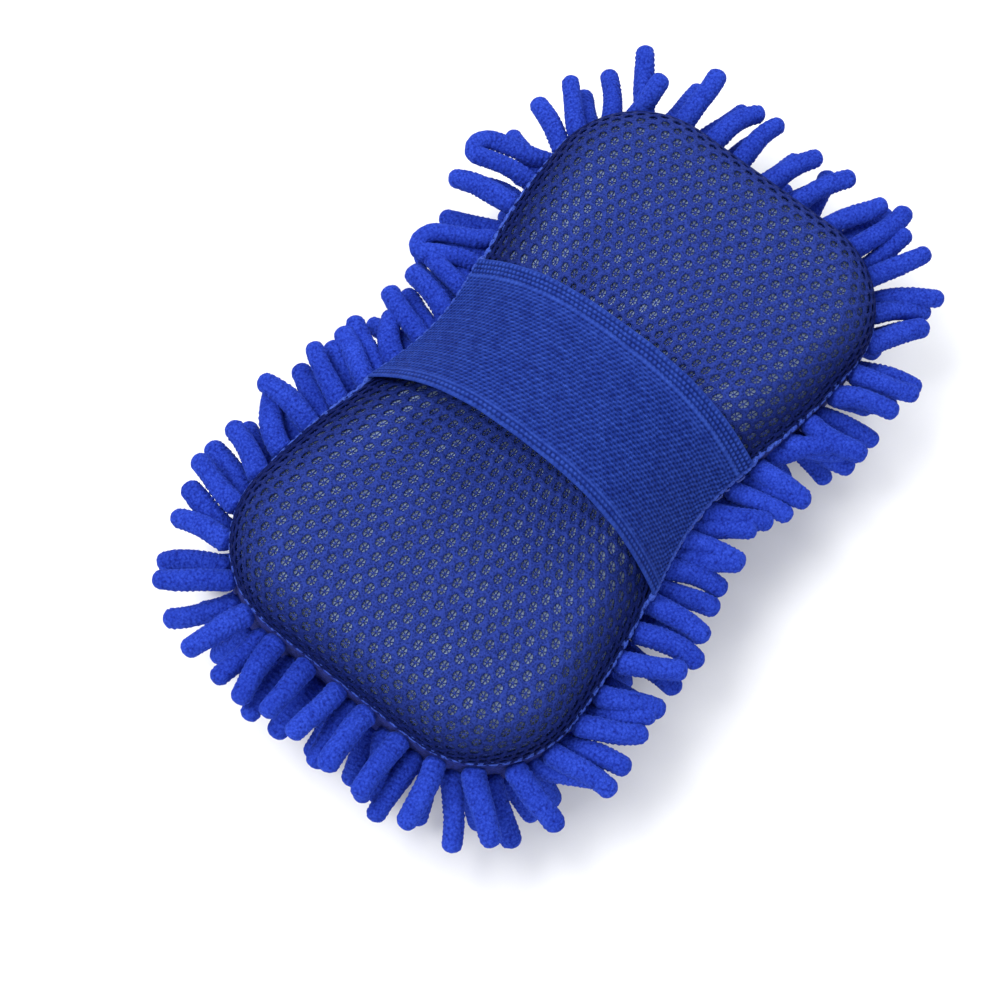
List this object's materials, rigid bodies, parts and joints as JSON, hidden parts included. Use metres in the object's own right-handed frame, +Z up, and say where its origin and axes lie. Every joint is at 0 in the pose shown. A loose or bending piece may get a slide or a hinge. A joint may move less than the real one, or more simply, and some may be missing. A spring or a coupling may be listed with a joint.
{
  "type": "wash mitt",
  "caption": "Blue microfibre car wash mitt with a foam core, an open net back, a chenille noodle pile and an elastic hand strap.",
  "frame": {"origin": "on the ground, under the middle of the mitt, at the foot of the centre noodle", "axes": "+X to the finger end, +Y to the left side, +Z up, out of the net back"},
  "size_m": [0.259, 0.158, 0.0788],
  "materials": {
    "foam": "open-cell polyurethane foam, matt",
    "net": "warp-knitted open net, slight sheen",
    "pile_cloth": "knitted polyester ground cloth",
    "seam": "sewn ridge",
    "elastic": "ribbed knitted elastic",
    "thread": "polyester sewing thread",
    "chenille": "velvety microfibre chenille"
  },
  "bodies": {
    "root": {"foam_core": "foam", "mesh_back": "net", "pile_backing": "pile_cloth", "rim_seam": "seam", "seam_allowance": "pile_cloth", "strap_hem_left": "elastic", "strap_hem_right": "elastic", "strap_stitches_left": "thread", "strap_stitches_right": "thread", "bottom_pile_row_1": "chenille", "bottom_pile_row_2": "chenille", "bottom_pile_row_3": "chenille", "bottom_pile_row_4": "chenille", "bottom_pile_row_5": "chenille", "bottom_pile_row_6": "chenille", "bottom_pile_row_7": "chenille", "bottom_pile_row_8": "chenille", "bottom_pile_row_9": "chenille", "upper_pile_finger_end": "chenille", "upper_pile_left": "chenille", "upper_pile_wrist_end": "chenille", "upper_pile_right": "chenille", "middle_pile_finger_end": "chenille", "middle_pile_left": "chenille", "middle_pile_wrist_end": "chenille", "middle_pile_right": "chenille", "lower_pile_finger_end": "chenille", "lower_pile_left": "chenille", "lower_pile_wrist_end": "chenille", "lower_pile_right": "chenille"},
    "strap": {"hand_strap": "elastic"}
  },
  "joints": [
    {"name": "strap_lift", "type": "slide", "parent": "root", "child": "strap", "axis": [0, 0, 1], "range_m": [-0.009, 0.012], "stiffness_N_per_m": 180, "deforming": ["hand_strap"]}
  ]
}
